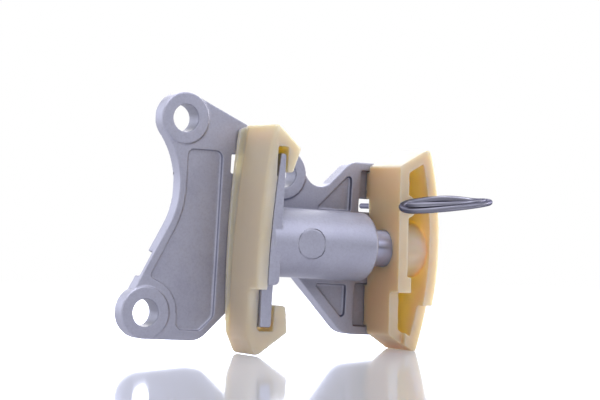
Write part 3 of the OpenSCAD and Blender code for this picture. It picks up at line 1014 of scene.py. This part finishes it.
@dataclass
class Springs:
    """Coil springs inside the barrel: each has its ends on the two bodies that it presses apart."""

    finish: TurnedSteel = field(
        default_factory=lambda: TurnedSteel(
            "spring_steel_drawn_oiled",
            base="#7b7c85",
            dark="#5d5e66",
            roughness=0.3,
            ring_mm=0.25,
            bump=0.15,
        )
    )
    ends: Mapping[str, tuple[Body, Body]] = field(
        default_factory=lambda: {
            "plunger_spring": (Body.BRACKET, Body.PLUNGER),
            "ball_spring": (Body.BALL, Body.BRACKET),
        }
    )

    def build(self) -> None:
        """Dresses each coil in place and hides the node that it stands for."""
        material = self.finish.material()
        for node, (low_end, high_end) in self.ends.items():
            coil = copy_of_node(node, node + "_coil")
            smooth(coil)
            coil.data.materials.clear()
            coil.data.materials.append(material)
            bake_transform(coil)
            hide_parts(node)
            log.info("%s: %d faces, for node %s", coil.name, len(coil.data.polygons), node)


@dataclass(frozen=True)
class SoftBox:
    """Square lamp that faces the object: its middle and its side in millimetres, its power and colour."""

    name: str
    place: Triple
    side: float
    watts: float
    tint: str


@dataclass(frozen=True)
class AcrylicSheet:
    """White acrylic sheet, cast and polished: it mirrors the object softly and fades into the backdrop.

    The two reaches are distances from the left shoe's foot, in metres, over which the sheet turns from
    taking the shadow to plain white, and over which its mirror fades away.
    """

    name: str = "acrylic_sheet_white"
    base: str = "#ececf2"
    mirror: str = "#e2e9ff"
    roughness: float = 0.07
    shadow_reach: tuple[float, float] = (0.1, 0.32)
    mirror_reach: tuple[float, float] = (0.15, 0.4)
    least_white: float = 0.45
    most_mirror: float = 0.58

    def material(self) -> bpy.types.Material:
        """Builds the finish.

        Returns:
            The material of the studio floor.
        """
        material = bpy.data.materials.new(self.name)
        material.use_nodes = True
        tree = material.node_tree
        tree.nodes.clear()
        matt = add_node(tree, "BsdfDiffuse", inputs={"Color": linear(self.base)})
        glow = add_node(tree, "Emission", inputs={"Color": WHITE, "Strength": 1.0})
        shine = add_node(
            tree, "BsdfAnisotropic", inputs={"Color": linear(self.mirror), "Roughness": self.roughness}
        )
        # White for the camera; near the object the sheet also takes its shadow
        reach = add_node(
            tree,
            "VectorMath",
            {"operation": "LENGTH"},
            {0: add_node(tree, "TexCoord").outputs["Object"]},
        )
        far = add_node(
            tree,
            "MapRange",
            {"interpolation_type": "SMOOTHSTEP"},
            {
                "Value": reach.outputs["Value"],
                "From Min": self.shadow_reach[0],
                "From Max": self.shadow_reach[1],
                "To Min": self.least_white,
                "To Max": 1.0,
            },
        )
        near = add_node(
            tree,
            "MapRange",
            {"interpolation_type": "SMOOTHSTEP"},
            {
                "Value": reach.outputs["Value"],
                "From Min": self.mirror_reach[0],
                "From Max": self.mirror_reach[1],
                "To Min": self.most_mirror,
                "To Max": 0.0,
            },
        )
        rays = add_node(tree, "LightPath")
        seen = add_node(
            tree,
            "Math",
            {"operation": "MAXIMUM"},
            {0: rays.outputs["Is Camera Ray"], 1: rays.outputs["Is Glossy Ray"]},
        )
        white = add_node(
            tree, "Math", {"operation": "MULTIPLY"}, {0: seen.outputs["Value"], 1: far.outputs["Result"]}
        )
        sheet = add_node(
            tree,
            "MixShader",
            inputs={0: white.outputs["Value"], 1: matt.outputs["BSDF"], 2: glow.outputs["Emission"]},
        )
        mirror = add_node(
            tree,
            "Math",
            {"operation": "MULTIPLY"},
            {0: rays.outputs["Is Camera Ray"], 1: near.outputs["Result"]},
        )
        both = add_node(
            tree,
            "MixShader",
            inputs={0: mirror.outputs["Value"], 1: sheet.outputs["Shader"], 2: shine.outputs["BSDF"]},
        )
        add_node(tree, "OutputMaterial", inputs={"Surface": both.outputs["Shader"]})
        return material


@dataclass
class Studio:
    """Floor, backdrop, lamps, card and camera, in millimetres."""

    look_at: Triple = (5.0, -5.0, -6.0)
    eye: Triple = (-261.35, -486.0, -18.88)
    up: Triple = (-0.0663, 0.0, 0.9978)
    focal_mm: float = 135.3
    left_foot: tuple[float, float] = (-10.7, -43.75)
    right_foot: tuple[float, float] = (32.0, -41.25)
    floor_side: float = 6000.0
    sheet: AcrylicSheet = field(default_factory=AcrylicSheet)
    room_tint: str = "#f3f4ff"
    dark_side: Triple = (-0.74, -0.67, 0.0)
    dark_reach: tuple[float, float] = (0.1, 0.8)
    room_levels: tuple[float, float] = (0.55, 0.1)
    card_place: Triple = (330.0, -600.0, -6.0)
    card_sides: tuple[float, float] = (760.0, 220.0)
    card_tint: str = "#24242c"
    boxes: tuple[SoftBox, ...] = (
        SoftBox("top_box", (-120, 40, 360), side=420, watts=1.15, tint="#fbfbff"),
        SoftBox("back_box", (300, 520, 180), side=480, watts=2.4, tint="#fffdf8"),
        SoftBox("left_box", (-330, 540, 90), side=440, watts=0.75, tint="#f0f3ff"),
        SoftBox("side_box", (620, 120, 60), side=420, watts=3.6, tint="#fffaf0"),
        SoftBox("front_box", (200, -310, 280), side=340, watts=0.46, tint="#eef0ff"),
    )

    def floor(self) -> None:
        """Lays a pale glossy floor under the feet of both shoes."""
        (left_x, left_z), (right_x, right_z) = self.left_foot, self.right_foot
        lean = math.atan2(right_z - left_z, right_x - left_x)
        deselect_all()
        bpy.ops.mesh.primitive_grid_add(
            x_subdivisions=4,
            y_subdivisions=4,
            size=self.floor_side * MM,
            location=(left_x * MM, 0, left_z * MM),
            rotation=(0, -lean, 0),
        )
        floor = bpy.context.object
        floor.name = "studio_floor"
        floor.data.materials.append(self.sheet.material())

    def world(self) -> None:
        """Surrounds the set with white for the camera and shiny pieces, and softer light for the rest."""
        world = bpy.data.worlds.new("studio_white")
        bpy.context.scene.world = world
        world.use_nodes = True
        tree = world.node_tree
        tree.nodes.clear()
        rays = add_node(tree, "LightPath")
        seen = add_node(
            tree,
            "Math",
            {"operation": "MAXIMUM"},
            {0: rays.outputs["Is Camera Ray"], 1: rays.outputs["Is Glossy Ray"]},
        )
        shown = add_node(
            tree,
            "Math",
            {"operation": "MAXIMUM"},
            {0: seen.outputs["Value"], 1: rays.outputs["Is Transmission Ray"]},
        )
        # The room is darker at the front left, which keeps the sliding face below the fronts in tone
        facing = add_node(
            tree,
            "VectorMath",
            {"operation": "DOT_PRODUCT"},
            {0: add_node(tree, "TexCoord").outputs["Generated"], 1: self.dark_side},
        )
        level = add_node(
            tree,
            "MapRange",
            inputs={
                "Value": facing.outputs["Value"],
                "From Min": self.dark_reach[0],
                "From Max": self.dark_reach[1],
                "To Min": self.room_levels[0],
                "To Max": self.room_levels[1],
            },
        )
        soft = add_node(
            tree,
            "Background",
            inputs={"Color": linear(self.room_tint), "Strength": level.outputs["Result"]},
        )
        white = add_node(tree, "Background", inputs={"Color": WHITE, "Strength": 1.0})
        both = add_node(
            tree,
            "MixShader",
            inputs={
                0: shown.outputs["Value"],
                1: soft.outputs["Background"],
                2: white.outputs["Background"],
            },
        )
        add_node(tree, "OutputWorld", inputs={"Surface": both.outputs["Shader"]})

    def hang(self, box: SoftBox) -> None:
        """Hangs one soft box that faces the object and that the camera doesn't see.

        Args:
            box: The soft box.
        """
        data = bpy.data.lights.new(box.name, "AREA")
        data.size = box.side * MM
        data.energy = box.watts
        data.color = linear(box.tint)[:3]
        lamp = bpy.data.objects.new(box.name, data)
        bpy.context.scene.collection.objects.link(lamp)
        lamp.location = Vector(box.place) * MM
        aim = Vector(self.look_at) * MM - lamp.location
        lamp.rotation_euler = aim.to_track_quat("-Z", "Y").to_euler()
        lamp.visible_camera = False

    def card(self) -> None:
        """Stands a matt card that faces the object and that shiny pieces show as a dark band."""
        middle = Vector(self.card_place)
        width, height = self.card_sides
        deselect_all()
        bpy.ops.mesh.primitive_grid_add(x_subdivisions=2, y_subdivisions=2, size=1.0, location=middle * MM)
        card = bpy.context.object
        card.name = "card_right"
        card.scale = (width * MM, height * MM, 1.0)
        card.rotation_euler = (middle - Vector(self.look_at)).to_track_quat("Z", "Y").to_euler()
        material, tree, shader, _ = new_material("card_right_matt")
        set_inputs(tree, shader, {"Base Color": linear(self.card_tint), "Roughness": 0.9})
        card.data.materials.append(material)
        card.visible_camera = False
        card.visible_shadow = False

    def camera(self) -> None:
        """Sets the camera at the photograph's place and angle."""
        data = bpy.data.cameras.new("view")
        data.sensor_width = 36.0
        data.lens = self.focal_mm
        data.clip_start = 0.01
        data.clip_end = 50.0
        camera = bpy.data.objects.new("view", data)
        bpy.context.scene.collection.objects.link(camera)
        back = (Vector(self.eye) - Vector(self.look_at)).normalized()
        right = Vector(self.up).cross(back).normalized()
        rise = back.cross(right)
        turn = Matrix((right, rise, back)).transposed().to_4x4()
        camera.matrix_world = Matrix.Translation(Vector(self.eye) * MM) @ turn
        bpy.context.scene.camera = camera

    def build(self) -> None:
        """Sets up floor, light and camera."""
        self.floor()
        self.world()
        self.card()
        for box in self.boxes:
            self.hang(box)
        self.camera()
        bpy.context.scene.view_settings.view_transform = "Standard"
        log.info("studio: floor, %d soft boxes, card and camera", len(self.boxes))


def main() -> None:
    """Builds each sub-assembly, then the studio."""
    logging.basicConfig(level=logging.INFO, format="%(name)s: %(message)s")
    assemblies = (
        Bracket(),
        FixedShoe(),
        MovingShoe(),
        Plunger(),
        LockPin(),
        CheckValve(),
        Springs(),
        Studio(),
    )
    for assembly in assemblies:
        assembly.build()


if __name__ == "__main__":
    main()
